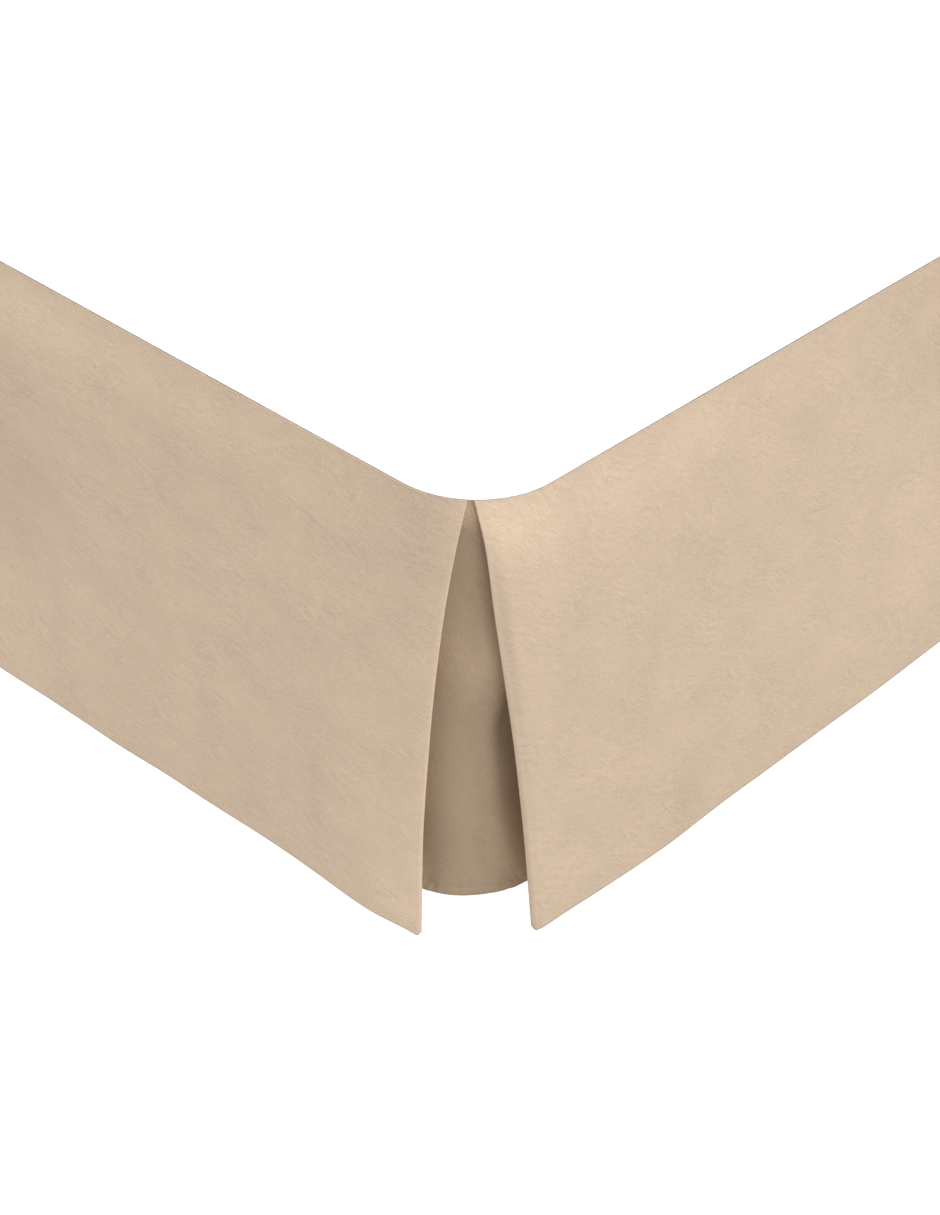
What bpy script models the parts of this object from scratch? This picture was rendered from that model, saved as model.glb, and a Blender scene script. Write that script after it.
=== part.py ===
"""Bed skirt on a plain bed base.

Metres, +Z up. The bed's length runs along Y, with the foot at -Y and the head at +Y.
The origin is on the floor under the middle of the bed.

The skirt is a deck panel that lies on the base, and three drops that hang from the deck's
foot edge and side edges. At both foot corners the drops turn back on themselves in a soft
fold, and an underlay closes the pleat behind the two folds.
"""
from collections import namedtuple
from math import cos, pi, sin, tau

import bmesh
import bpy
from mathutils import Vector

# Bed, to the outer faces of the skirt
BED_WIDTH = 1.524
BED_LENGTH = 2.032
CORNER_RADIUS = 0.068

# Skirt
DROP = 0.381
HEM_ABOVE_FLOOR = 0.016
CLOTH = 0.0012
DECK_THICKNESS = 0.0015
SEAM_GAP = 0.0003
LAYER_GAP = 0.0005
RIM_BELOW_DECK = 0.0002

# Corner pleat, measured along the bed from the sharp corner of its plan
PLEAT_SPREAD = 0.100
RETURN_END = 0.200
UNDERLAY_SHORTER = 0.008
UNDERLAY_SWAY_FROM = 0.110
UNDERLAY_SWAY_FULL = 0.170
FREE_FROM = 0.200
FREE_FULL = 0.320

# Bed base
BASE_HEIGHT = 0.127
BASE_INSET = 0.0085
BASE_CORNER = 0.100
BASE_EDGE = 0.006
LEG_TOP_RADIUS = 0.028
LEG_FOOT_RADIUS = 0.022
LEG_INSET = 0.190
LEG_SIDES = 20

# Steps of the plans
ARC_STEPS = 6
ROLL_STEPS = 4
RETURN_STEPS = 4
UNDERLAY_STEPS = 12
UNDERLAY_LEG_STEPS = 5
FOOT_STEPS = 24
SIDE_STEPS = 32
CORNER_STEPS = 12
HEIGHT_STEPS = 12

# Sections of the pleat, from the top edge to the hem.
# share: part of the drop below the top edge
# foot_reach, side_reach: cloth of each drop past the start of the round corner
# straighten: 0 where the cloth follows the round corner, 1 where it hangs flat
# roll: radius of the soft turn in the fold
# foot_tuck, side_tuck: how far the underlay hangs inside its place at the top
# foot_round, side_round: lengths of the underlay's oval corner on either side
# corner_sway, free_sway: part of the hem's waves at this height, at the corner and past it
Section = namedtuple(
    "Section",
    "share foot_reach side_reach straighten roll foot_tuck side_tuck foot_round side_round "
    "corner_sway free_sway",
)
SECTIONS = [
    Section(0.00, 0.0473, 0.0559, 0.00, 0.0010, 0.0000, 0.000, 0.063, 0.063, 0.00, 0.00),
    Section(0.03, 0.0454, 0.0536, 0.06, 0.0010, 0.0000, 0.000, 0.064, 0.063, 0.00, 0.05),
    Section(0.10, 0.0412, 0.0489, 0.19, 0.0011, 0.0010, 0.001, 0.078, 0.070, 0.00, 0.15),
    Section(0.22, 0.0349, 0.0438, 0.39, 0.0013, 0.0020, 0.002, 0.092, 0.070, 0.00, 0.32),
    Section(0.36, 0.0291, 0.0361, 0.59, 0.0015, 0.0025, 0.003, 0.100, 0.060, 0.00, 0.50),
    Section(0.56, 0.0215, 0.0237, 0.81, 0.0019, 0.0100, 0.024, 0.100, 0.040, 0.30, 0.70),
    Section(0.78, 0.0150, 0.0116, 0.95, 0.0022, 0.0180, 0.028, 0.086, 0.044, 0.65, 0.87),
    Section(1.00, 0.0124, 0.0014, 1.00, 0.0024, 0.0290, 0.029, 0.063, 0.063, 1.00, 1.00),
]

# Waves of the hems. along: from the sharp corner; lean: how far the hem stands outwards
Wave = namedtuple("Wave", "along lean")
FOOT_WAVES = [
    Wave(0.055, -0.0045),
    Wave(0.100, -0.0010),
    Wave(0.215, -0.0020),
    Wave(0.300, -0.0008),
    Wave(0.390, 0.0012),
    Wave(0.510, 0.0034),
    Wave(0.650, -0.0028),
    Wave(0.790, 0.0024),
    Wave(0.950, -0.0022),
    Wave(1.110, 0.0026),
    Wave(1.270, -0.0016),
    Wave(1.400, 0.0010),
    Wave(1.469, -0.0030),
]
SIDE_WAVES = [
    Wave(0.068, 0.0000),
    Wave(0.195, 0.0042),
    Wave(0.300, 0.0014),
    Wave(0.440, 0.0000),
    Wave(0.570, -0.0036),
    Wave(0.740, 0.0030),
    Wave(0.930, -0.0022),
    Wave(1.120, 0.0028),
    Wave(1.330, -0.0016),
    Wave(1.520, 0.0032),
    Wave(1.730, -0.0024),
    Wave(1.900, 0.0018),
    Wave(2.032, -0.0010),
]

# Heights
RIM = HEM_ABOVE_FLOOR + DROP
TOP = RIM + RIM_BELOW_DECK
UNDER_DECK = TOP - DECK_THICKNESS - SEAM_GAP
BASE_BOTTOM = UNDER_DECK - BASE_HEIGHT
FOOT_Y = -BED_LENGTH / 2
SIDE_X = BED_WIDTH / 2


def ease(share):
    """Soft start and end between 0 and 1."""
    return (1 - cos(pi * min(max(share, 0.0), 1.0))) / 2


def secant(k, column):
    """Change of a column between two rows of the sections, for each share of the drop."""
    rise = SECTIONS[k + 1][column] - SECTIONS[k][column]
    return rise / (SECTIONS[k + 1].share - SECTIONS[k].share)


def slope(k, column):
    """Slope of a column at a row, level where the column turns or stays level."""
    before = secant(max(k - 1, 0), column)
    after = secant(min(k, len(SECTIONS) - 2), column)
    return 2 * before * after / (before + after) if before * after > 0 else 0.0


def section_at(share):
    """The section at any height, on smooth curves through the rows of the table."""
    k = max(i for i, row in enumerate(SECTIONS[:-1]) if row.share <= share)
    width = SECTIONS[k + 1].share - SECTIONS[k].share
    t = (share - SECTIONS[k].share) / width
    values = []
    for column in range(len(Section._fields)):
        value = SECTIONS[k][column] * (1 + 2 * t) * (1 - t) ** 2
        value += SECTIONS[k + 1][column] * t**2 * (3 - 2 * t)
        value += slope(k, column) * width * t * (1 - t) ** 2
        value -= slope(k + 1, column) * width * t**2 * (1 - t)
        values.append(value)
    return Section(*values)


def lean_at(waves, along):
    """How far the hem stands outwards at a place along the drop."""
    for near, far in zip(waves, waves[1:]):
        if along <= far.along:
            share = (along - near.along) / (far.along - near.along)
            return near.lean + (far.lean - near.lean) * ease(share)
    return waves[-1].lean


def corner_point(run, depth, section):
    """Plan of a drop near the corner, as (along, inward) from the sharp corner.

    run is the cloth past the start of the round corner, and depth is measured inwards from
    the outer face. The directions of the cloth and of its inner side come with the point.
    """
    past = max(run, 0.0)
    turn = past / CORNER_RADIUS
    bend = 1 - section.straighten
    along = CORNER_RADIUS - min(run, 0.0)
    along -= bend * CORNER_RADIUS * sin(turn) + section.straighten * past
    inward = bend * CORNER_RADIUS * (1 - cos(turn))
    step = Vector((-bend * cos(turn) - section.straighten, bend * sin(turn))).normalized()
    inside = Vector((step.y, -step.x))
    return Vector((along, inward)) + inside * depth, step, inside


def folded_end(reach, section):
    """Plan of a drop's end: the front, the roll of the fold and the return behind it."""
    middle = CLOTH / 2
    edge = reach - section.roll - middle
    start = CORNER_RADIUS - PLEAT_SPREAD
    plan = [corner_point(start, middle, section)[0]]
    plan += [corner_point(edge * k / ARC_STEPS, middle, section)[0] for k in range(ARC_STEPS)]
    centre, step, inside = corner_point(edge, middle + section.roll, section)
    for k in range(ROLL_STEPS + 1):
        angle = pi * k / ROLL_STEPS
        plan.append(centre + (step * sin(angle) - inside * cos(angle)) * section.roll)
    behind = middle + 2 * section.roll
    for k in range(1, ARC_STEPS + 1):
        plan.append(corner_point(edge * (1 - k / ARC_STEPS), behind, section)[0])
    end = CORNER_RADIUS - RETURN_END
    for k in range(1, RETURN_STEPS + 1):
        plan.append(corner_point(end * k / RETURN_STEPS, behind, section)[0])
    return plan


def straight_run(start, end, steps):
    """Plan of the flat part of a drop, without its two end points."""
    return [Vector((start + (end - start) * k / steps, CLOTH / 2)) for k in range(1, steps)]


def swayed(plan, waves, length, section):
    """The same plan with this height's part of the hem's waves.

    length is where the drop has its far corner.
    """
    moved = []
    for p in plan:
        free = ease((min(p.x, length - p.x) - FREE_FROM) / (FREE_FULL - FREE_FROM))
        sway = section.corner_sway + (section.free_sway - section.corner_sway) * free
        moved.append(Vector((p.x, p.y - sway * lean_at(waves, p.x))))
    return moved


def foot_plan(section):
    """Plan of the foot drop, from the right return to the left one."""
    end = folded_end(section.foot_reach, section)
    far_end = [Vector((BED_WIDTH - p.x, p.y)) for p in end]
    middle = straight_run(PLEAT_SPREAD, BED_WIDTH - PLEAT_SPREAD, FOOT_STEPS)
    return swayed(end[::-1] + middle + far_end, FOOT_WAVES, BED_WIDTH, section)


def side_plan(section):
    """Plan of a side drop, from the return at the foot to the head end."""
    end = folded_end(section.side_reach, section)
    middle = straight_run(PLEAT_SPREAD, BED_LENGTH, SIDE_STEPS)
    head = [Vector((BED_LENGTH, CLOTH / 2))]
    return swayed(end[::-1] + middle + head, SIDE_WAVES, 2 * BED_LENGTH, section)


def underlay_leg(section, waves, tuck, corner):
    """Plan of one half of the underlay, from its seam with a return to its oval corner."""
    seam_depth = 1.5 * CLOTH + 2 * section.roll + LAYER_GAP
    plan = []
    for k in range(UNDERLAY_LEG_STEPS + 1):
        share = k / UNDERLAY_LEG_STEPS
        along = RETURN_END + (seam_depth + corner - RETURN_END) * share
        sway = ease((along - UNDERLAY_SWAY_FROM) / (UNDERLAY_SWAY_FULL - UNDERLAY_SWAY_FROM))
        lean = section.corner_sway * sway * lean_at(waves, along)
        plan.append(Vector((along, seam_depth + tuck * ease(share) - lean)))
    return plan


def underlay_plan(section):
    """Plan of a corner underlay, as (from the side, from the foot) of the sharp corner."""
    corner = Vector((section.side_tuck + section.foot_round, section.foot_tuck + section.side_round))
    foot_leg = underlay_leg(section, FOOT_WAVES, section.foot_tuck, corner.x)
    side_leg = underlay_leg(section, SIDE_WAVES, section.side_tuck, corner.y)
    arc = []
    for k in range(1, UNDERLAY_STEPS):
        angle = pi / 2 * k / UNDERLAY_STEPS
        spoke = Vector((section.foot_round * sin(angle), section.side_round * cos(angle)))
        arc.append(Vector((foot_leg[-1].x, side_leg[-1].x)) - spoke)
    return foot_leg + arc + [Vector((p.y, p.x)) for p in side_leg[::-1]]


def cloth_material(name, colour, roughness):
    """Plain finish of one cloth or board."""
    material = bpy.data.materials.new(name)
    material.use_nodes = True
    shader = material.node_tree.nodes["Principled BSDF"]
    shader.inputs["Base Color"].default_value = (*colour, 1)
    shader.inputs["Roughness"].default_value = roughness
    shader.inputs["Metallic"].default_value = 0
    return material


def add_object(name, bm, material):
    """One named object from a bmesh."""
    mesh = bpy.data.meshes.new(name)
    bm.to_mesh(mesh)
    bm.free()
    mesh.materials.append(material)
    piece = bpy.data.objects.new(name, mesh)
    bpy.context.scene.collection.objects.link(piece)
    return piece


def add_sheet(name, plan_of, place, rim, drop, material):
    """A hanging sheet through the plans of all sections, as thick as the cloth.

    rim gives the height of the top edge at each point of the plan.
    """
    bm = bmesh.new()
    rows = []
    for step in range(HEIGHT_STEPS + 1):
        section = section_at(step / HEIGHT_STEPS)
        plan = plan_of(section)
        heights = [max(rim) - drop * section.share] * len(plan) if section.share else rim
        rows.append([bm.verts.new((*place(p), height)) for p, height in zip(plan, heights)])
    for upper, lower in zip(rows, rows[1:]):
        for k in range(len(upper) - 1):
            bm.faces.new((upper[k], lower[k], lower[k + 1], upper[k + 1]))
    sheet = add_object(name, bm, material)
    sheet.data.shade_smooth()
    solid = sheet.modifiers.new("thickness", "SOLIDIFY")
    solid.thickness = CLOTH
    solid.offset = 0
    solid.use_even_offset = True
    sheet.modifiers.new("flat_where_flat", "WEIGHTED_NORMAL")
    return sheet


def add_slab(name, inset, foot_radius, head_radius, bottom, thickness, material):
    """A flat slab inside the skirt's outer face, with its four corners rounded."""
    right = SIDE_X - inset
    foot = FOOT_Y + inset
    head = -FOOT_Y
    corners = [
        (right, foot, foot_radius, -pi / 2),
        (right, head, head_radius, 0.0),
        (-right, head, head_radius, pi / 2),
        (-right, foot, foot_radius, pi),
    ]
    bm = bmesh.new()
    outline = []
    for x, y, radius, start in corners:
        steps = CORNER_STEPS if radius else 0
        centre = Vector((x - radius * (1 if x > 0 else -1), y - radius * (1 if y > 0 else -1)))
        for k in range(steps + 1):
            angle = start + pi / 2 * k / max(steps, 1)
            outline.append(bm.verts.new((*(centre + radius * Vector((cos(angle), sin(angle)))), bottom)))
    face = bm.faces.new(outline)
    raised = bmesh.ops.extrude_face_region(bm, geom=[face])
    lifted = [item for item in raised["geom"] if isinstance(item, bmesh.types.BMVert)]
    bmesh.ops.translate(bm, verts=lifted, vec=(0, 0, thickness))
    bmesh.ops.recalc_face_normals(bm, faces=bm.faces)
    return add_object(name, bm, material)


for item in list(bpy.data.objects):
    bpy.data.objects.remove(item, do_unlink=True)

skirt_cloth = cloth_material("skirt_cloth", (0.60, 0.46, 0.34), 0.9)
deck_cloth = cloth_material("deck_cloth", (0.88, 0.87, 0.85), 0.9)
base_cover = cloth_material("base_cover", (0.80, 0.78, 0.74), 0.85)
leg_wood = cloth_material("leg_wood", (0.07, 0.05, 0.04), 0.5)

# Deck panel, on the base
add_slab(
    "deck_panel",
    CLOTH + SEAM_GAP,
    CORNER_RADIUS - CLOTH - SEAM_GAP,
    0.0,
    TOP - DECK_THICKNESS,
    DECK_THICKNESS,
    deck_cloth,
)

# Foot drop, then the two side drops, which mirror each other. The folds and the returns
# pass under the deck, so their top edge is lower than that of the front.
folded_rim = [UNDER_DECK] * (ROLL_STEPS + 1 + ARC_STEPS + RETURN_STEPS)
front_rim = [RIM] * (1 + ARC_STEPS)
add_sheet(
    "foot_drop",
    foot_plan,
    lambda p: (SIDE_X - p.x, FOOT_Y + p.y),
    folded_rim + front_rim + [RIM] * (FOOT_STEPS - 1) + front_rim + folded_rim,
    DROP,
    skirt_cloth,
)
underlay_points = 2 * (UNDERLAY_LEG_STEPS + 1) + UNDERLAY_STEPS - 1
for name, side in (("right", 1), ("left", -1)):
    add_sheet(
        "side_drop_" + name,
        side_plan,
        lambda p, side=side: (side * (SIDE_X - p.y), FOOT_Y + p.x),
        folded_rim + front_rim + [RIM] * SIDE_STEPS,
        DROP,
        skirt_cloth,
    )
    add_sheet(
        "corner_underlay_" + name,
        underlay_plan,
        lambda p, side=side: (side * (SIDE_X - p.x), FOOT_Y + p.y),
        [UNDER_DECK] * underlay_points,
        DROP - UNDERLAY_SHORTER,
        skirt_cloth,
    )

# Bed base, with softened edges
base = add_slab(
    "bed_base",
    BASE_INSET,
    BASE_CORNER,
    BASE_CORNER,
    BASE_BOTTOM,
    BASE_HEIGHT,
    base_cover,
)
softened = base.modifiers.new("softened_edges", "BEVEL")
softened.width = BASE_EDGE
softened.segments = 2
softened.limit_method = "ANGLE"

# Legs, three under each side of the base
leg_height = BASE_BOTTOM - SEAM_GAP
for row, y in (("foot", FOOT_Y + LEG_INSET), ("middle", 0.0), ("head", -FOOT_Y - LEG_INSET)):
    for name, side in (("right", 1), ("left", -1)):
        bm = bmesh.new()
        bmesh.ops.create_cone(
            bm,
            cap_ends=True,
            segments=LEG_SIDES,
            radius1=LEG_FOOT_RADIUS,
            radius2=LEG_TOP_RADIUS,
            depth=leg_height,
        )
        leg = add_object("leg_" + row + "_" + name, bm, leg_wood)
        leg.location = (side * (SIDE_X - LEG_INSET), y, leg_height / 2)
        leg.data.shade_smooth()
        leg.data.set_sharp_from_angle(angle=tau / 8)
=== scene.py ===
"""Tailored bed skirt with an open pleat at each foot corner, on a plain bed base.

Metres, +Z up, the foot of the bed at -Y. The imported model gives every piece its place. Each
cloth is made again here as a thin sheet on its solid's folds, with its hem, its stitching and
the soft unevenness of the real cloth.
"""
from collections import namedtuple
from math import cos, exp, pi, radians, sin, sqrt

import bmesh
import bpy
from mathutils import Matrix, Vector, noise


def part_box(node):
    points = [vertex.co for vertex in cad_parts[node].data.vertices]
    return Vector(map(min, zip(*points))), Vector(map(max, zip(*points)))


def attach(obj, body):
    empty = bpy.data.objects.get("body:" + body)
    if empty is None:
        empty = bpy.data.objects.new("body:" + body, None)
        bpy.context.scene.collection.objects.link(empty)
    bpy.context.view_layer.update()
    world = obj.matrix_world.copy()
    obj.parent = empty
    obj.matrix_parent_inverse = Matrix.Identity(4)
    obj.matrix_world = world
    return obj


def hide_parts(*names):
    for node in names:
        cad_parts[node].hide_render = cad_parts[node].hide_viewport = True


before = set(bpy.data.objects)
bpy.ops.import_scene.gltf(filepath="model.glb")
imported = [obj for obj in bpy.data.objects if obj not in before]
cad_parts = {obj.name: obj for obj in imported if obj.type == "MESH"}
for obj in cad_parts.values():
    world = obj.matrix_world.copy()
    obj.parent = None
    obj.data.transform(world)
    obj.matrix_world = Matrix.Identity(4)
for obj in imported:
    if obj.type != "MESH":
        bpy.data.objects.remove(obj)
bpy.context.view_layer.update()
bpy.ops.object.select_all(action="DESELECT")


# Camera
# It looks down on the right foot corner of the bed from standing height, as the photograph
# does. Its place is measured from the sharp corner of the skirt's plan, at the top edge.
BED_WIDTH = 1.524
BED_LENGTH = 2.032
SIDE_X = BED_WIDTH / 2
FOOT_Y = -BED_LENGTH / 2
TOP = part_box("deck_panel")[1][2]
CAMERA_FROM_CORNER = Vector((1.0522, -1.1286, 1.0585))
CAMERA_AZIMUTH = radians(43.16)
CAMERA_ELEVATION = radians(35.995)
CAMERA_ROLL = radians(0.9675)

bpy.ops.object.camera_add(location=Vector((SIDE_X, FOOT_Y, TOP)) + CAMERA_FROM_CORNER)
camera = bpy.context.object
camera.name = "camera"
turned = Matrix.Rotation(CAMERA_AZIMUTH, 3, "Z")
turned = turned @ Matrix.Rotation(pi / 2 - CAMERA_ELEVATION, 3, "X")
turned = turned @ Matrix.Rotation(CAMERA_ROLL, 3, "Z")
camera.rotation_euler = turned.to_euler()
camera.data.lens = 89.10
camera.data.sensor_width = 36
camera.data.sensor_fit = "AUTO"
bpy.context.scene.camera = camera


# Foot drop
# The panel across the foot of the bed: brushed cloth, sewn to the deck's edge and hemmed
# below. At both ends it turns back on itself in a soft fold and runs behind its own front.
CORNER_RADIUS = 0.068
DROP = 0.381
RIM = TOP - 0.0002
UNDER_DECK = TOP - 0.0018
CLOTH = 0.0012
SHEET = 0.0008
PLEAT_SPREAD = 0.100
RETURN_END = 0.200
FREE_FROM = 0.200
FREE_FULL = 0.320
CLOSE_END = 0.580
CLOSE_STEP = 0.0026
FREE_STEP = 0.0090
ARC_STEPS = 18
ROLL_STEPS = 10
RETURN_STEPS = 14

# Sections of the pleat from the top edge to the hem, as in the solids.
# share: part of the drop below the top edge
# foot_reach, side_reach: cloth of each drop past the start of the round corner
# straighten: 0 where the cloth follows the round corner, 1 where it hangs flat
# roll: radius of the soft turn in the fold
# foot_tuck, side_tuck: how far the underlay hangs inside its place at the top
# foot_round, side_round: lengths of the underlay's oval corner on either side
# corner_sway, free_sway: part of the hem's waves at this height, at the corner and past it
Section = namedtuple(
    "Section",
    "share foot_reach side_reach straighten roll foot_tuck side_tuck foot_round side_round "
    "corner_sway free_sway",
)
SECTIONS = [
    Section(0.00, 0.0473, 0.0559, 0.00, 0.0010, 0.0000, 0.000, 0.063, 0.063, 0.00, 0.00),
    Section(0.03, 0.0454, 0.0536, 0.06, 0.0010, 0.0000, 0.000, 0.064, 0.063, 0.00, 0.05),
    Section(0.10, 0.0412, 0.0489, 0.19, 0.0011, 0.0010, 0.001, 0.078, 0.070, 0.00, 0.15),
    Section(0.22, 0.0349, 0.0438, 0.39, 0.0013, 0.0020, 0.002, 0.092, 0.070, 0.00, 0.32),
    Section(0.36, 0.0291, 0.0361, 0.59, 0.0015, 0.0025, 0.003, 0.100, 0.060, 0.00, 0.50),
    Section(0.56, 0.0215, 0.0237, 0.81, 0.0019, 0.0100, 0.024, 0.100, 0.040, 0.30, 0.70),
    Section(0.78, 0.0150, 0.0116, 0.95, 0.0022, 0.0180, 0.028, 0.086, 0.044, 0.65, 0.87),
    Section(1.00, 0.0124, 0.0014, 1.00, 0.0024, 0.0290, 0.029, 0.063, 0.063, 1.00, 1.00),
]

# Waves of the hem, as in the solids. along: from the sharp corner; lean: outwards
Wave = namedtuple("Wave", "along lean")
FOOT_WAVES = [
    Wave(0.055, -0.0045),
    Wave(0.100, -0.0010),
    Wave(0.215, -0.0020),
    Wave(0.300, -0.0008),
    Wave(0.390, 0.0012),
    Wave(0.510, 0.0034),
    Wave(0.650, -0.0028),
    Wave(0.790, 0.0024),
    Wave(0.950, -0.0022),
    Wave(1.110, 0.0026),
    Wave(1.270, -0.0016),
    Wave(1.400, 0.0010),
    Wave(1.469, -0.0030),
]

# Soft ridges and troughs of the cloth.
# along, down: the middle, from the sharp corner and from the top edge
# reach, spread: half its length and half its width
# slant: degrees from upright, towards the far end of the drop going down
# height: outwards
Crease = namedtuple("Crease", "along down reach spread slant height")
FOOT_CREASES = [
    Crease(0.490, 0.262, 0.088, 0.070, 0, -0.0065),
    Crease(0.485, 0.080, 0.095, 0.075, 0, 0.0034),
    Crease(0.112, 0.345, 0.075, 0.030, 4, 0.0020),
    Crease(0.200, 0.335, 0.050, 0.032, -6, -0.0008),
    Crease(0.265, 0.120, 0.090, 0.045, 18, 0.0008),
    Crease(0.700, 0.210, 0.140, 0.060, -5, 0.0030),
    Crease(0.930, 0.180, 0.120, 0.050, 8, -0.0028),
    Crease(1.180, 0.230, 0.130, 0.055, -4, 0.0030),
    Crease(1.390, 0.330, 0.080, 0.030, 5, 0.0016),
]

# Swell of the cloth below its top edge. along: from the sharp corner; lean: outwards
FOOT_SHOULDERS = [
    Wave(0.060, 0.0006),
    Wave(0.200, 0.0022),
    Wave(0.420, 0.0033),
    Wave(0.600, 0.0030),
    Wave(0.900, 0.0012),
    Wave(1.200, 0.0030),
    Wave(1.460, 0.0014),
]

# Patches of painted light (height above 0) and painted shade, in the same way
FOOT_PAINTED_PATCHES = [
    Crease(0.080, 0.350, 0.065, 0.026, 0, 0.60),
    Crease(0.155, 0.312, 0.050, 0.010, 0, -0.35),
    Crease(0.268, 0.300, 0.050, 0.012, 3, -0.25),
    Crease(0.437, 0.315, 0.045, 0.012, 0, -0.30),
    Crease(0.292, 0.095, 0.030, 0.022, 0, -0.20),
    Crease(0.045, 0.040, 0.070, 0.040, 0, -0.45),
    Crease(0.480, 0.150, 0.090, 0.050, 0, -0.40),
]

HEM_TURN = 0.0006
HEM_WIDTH = 0.010
HEM_STITCH = 0.0075
HEM_GROOVE = 0.00030
HEM_PUCKER = 0.00034
DROP_HEM = 0.15
TOP_EDGE = 0.0014
CREASES_FROM = 0.045
SWELL_DEPTH = 0.060
SWELL_LENGTH = 0.20
SWELL_LOSS = 0.7
FLAT_BY_FOLD = 0.010
FOOT_TIP = 0.0013
# Painted highlight along each fold: a band that comes in over the upper drop, and a thin line right on the
# fold
FOOT_FOLD_HIGHLIGHT = 0.8
FOLD_HIGHLIGHT_WIDTH = 0.020
FOLD_HIGHLIGHT_FULL = 0.22
FOLD_EDGE_HIGHLIGHT = 1.5
FOLD_EDGE_HIGHLIGHT_WIDTH = 0.0010
# Width of the painted shade along the bottom edge of the hem
EDGE_SHADE_WIDTH = 0.0009
BODY_ROWS = 56


def ease(share):
    """Soft start and end between 0 and 1."""
    return (1 - cos(pi * min(max(share, 0.0), 1.0))) / 2


def secant(k, column):
    """Change of a column between two rows of the sections, for each share of the drop."""
    rise = SECTIONS[k + 1][column] - SECTIONS[k][column]
    return rise / (SECTIONS[k + 1].share - SECTIONS[k].share)


def slope(k, column):
    """Slope of a column at a row, level where the column turns or stays level."""
    before = secant(max(k - 1, 0), column)
    after = secant(min(k, len(SECTIONS) - 2), column)
    return 2 * before * after / (before + after) if before * after > 0 else 0.0


def section_at(share):
    """The section at any height, on smooth curves through the rows of the table."""
    k = max(i for i, row in enumerate(SECTIONS[:-1]) if row.share <= share)
    width = SECTIONS[k + 1].share - SECTIONS[k].share
    t = (share - SECTIONS[k].share) / width
    values = []
    for column in range(len(Section._fields)):
        value = SECTIONS[k][column] * (1 + 2 * t) * (1 - t) ** 2
        value += SECTIONS[k + 1][column] * t**2 * (3 - 2 * t)
        value += slope(k, column) * width * t * (1 - t) ** 2
        value -= slope(k + 1, column) * width * t**2 * (1 - t)
        values.append(value)
    return Section(*values)


def lean_at(waves, along):
    """How far the hem stands outwards at a place along the drop."""
    for near, far in zip(waves, waves[1:]):
        if along <= far.along:
            share = (along - near.along) / (far.along - near.along)
            return near.lean + (far.lean - near.lean) * ease(share)
    return waves[-1].lean


def corner_point(run, depth, section):
    """Plan of a drop near the corner, as (along, inward), with the cloth's directions."""
    past = max(run, 0.0)
    turn = past / CORNER_RADIUS
    bend = 1 - section.straighten
    along = CORNER_RADIUS - min(run, 0.0)
    along -= bend * CORNER_RADIUS * sin(turn) + section.straighten * past
    inward = bend * CORNER_RADIUS * (1 - cos(turn))
    step = Vector((-bend * cos(turn) - section.straighten, bend * sin(turn))).normalized()
    inside = Vector((step.y, -step.x))
    return Vector((along, inward)) + inside * depth, step, inside


# A column of a sheet. place: its plan; cloth: the cloth's own measure, which carries the
# pattern; front: 1 on the side that shows, 0 on the return; tip: distance to the fold
Column = namedtuple("Column", "place cloth front tip")


def folded_end(reach, section):
    """Columns of a drop's end: the front, the roll of the fold and the return behind it."""
    middle = CLOTH / 2
    edge = reach - section.roll - middle
    start = CORNER_RADIUS - PLEAT_SPREAD
    columns = []
    for k in range(ARC_STEPS + 1):
        run = start + (edge - start) * ease(0.5 + 0.5 * k / ARC_STEPS) * 2 - (edge - start)
        place = corner_point(run, middle, section)[0]
        columns.append(Column(place, CORNER_RADIUS - run, 1.0, reach - run))
    centre, step, inside = corner_point(edge, middle + section.roll, section)
    for k in range(1, ROLL_STEPS + 1):
        angle = pi * k / ROLL_STEPS
        place = centre + (step * sin(angle) - inside * cos(angle)) * section.roll
        cloth = CORNER_RADIUS - edge - section.roll * angle
        tip = (section.roll + middle) * (1 - sin(angle)) if angle < pi / 2 else 0.0
        columns.append(Column(place, cloth, (1 + cos(angle)) / 2, tip))
    behind = middle + 2 * section.roll
    end = CORNER_RADIUS - RETURN_END
    for k in range(1, RETURN_STEPS + 1):
        run = edge + (end - edge) * k / RETURN_STEPS
        place = corner_point(run, behind, section)[0]
        cloth = CORNER_RADIUS - 2 * edge - section.roll * pi + run
        columns.append(Column(place, cloth, 0.0, 0.0))
    return columns


def free_places(length, folded_far_end):
    """Places along the flat part of a drop, close together where the picture looks."""
    places = []
    along = PLEAT_SPREAD
    last = length - PLEAT_SPREAD if folded_far_end else length
    while True:
        along += CLOSE_STEP if along < CLOSE_END else FREE_STEP
        if along > last - CLOSE_STEP:
            return places
        places.append(along)


def drop_columns(section, reach, waves, length, folded_far_end):
    """All columns of a drop at one height, with this height's part of the hem's waves."""
    end = folded_end(reach, section)
    columns = end[::-1]
    for along in free_places(length, folded_far_end):
        columns.append(Column(Vector((along, CLOTH / 2)), along, 1.0, 1.0))
    if folded_far_end:
        for c in end:
            columns.append(c._replace(place=Vector((length - c.place.x, c.place.y)), cloth=length - c.cloth))
    else:
        columns.append(Column(Vector((length, CLOTH / 2)), length, 1.0, 1.0))
    swayed = []
    for c in columns:
        nearest = min(c.place.x, length - c.place.x) if folded_far_end else c.place.x
        free = ease((nearest - FREE_FROM) / (FREE_FULL - FREE_FROM))
        sway = section.corner_sway + (section.free_sway - section.corner_sway) * free
        lean = sway * lean_at(waves, c.place.x)
        swayed.append(c._replace(place=Vector((c.place.x, c.place.y - lean))))
    return swayed


def crease_height(creases, along, down):
    """Height of the soft ridges and troughs at a place of the cloth."""
    height = 0.0
    for crease in creases:
        slant = radians(crease.slant)
        across = (along - crease.along) * cos(slant) - (down - crease.down) * sin(slant)
        length = (along - crease.along) * sin(slant) + (down - crease.down) * cos(slant)
        height += crease.height * exp(-((across / crease.spread) ** 2) - (length / crease.reach) ** 2)
    return height


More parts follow.
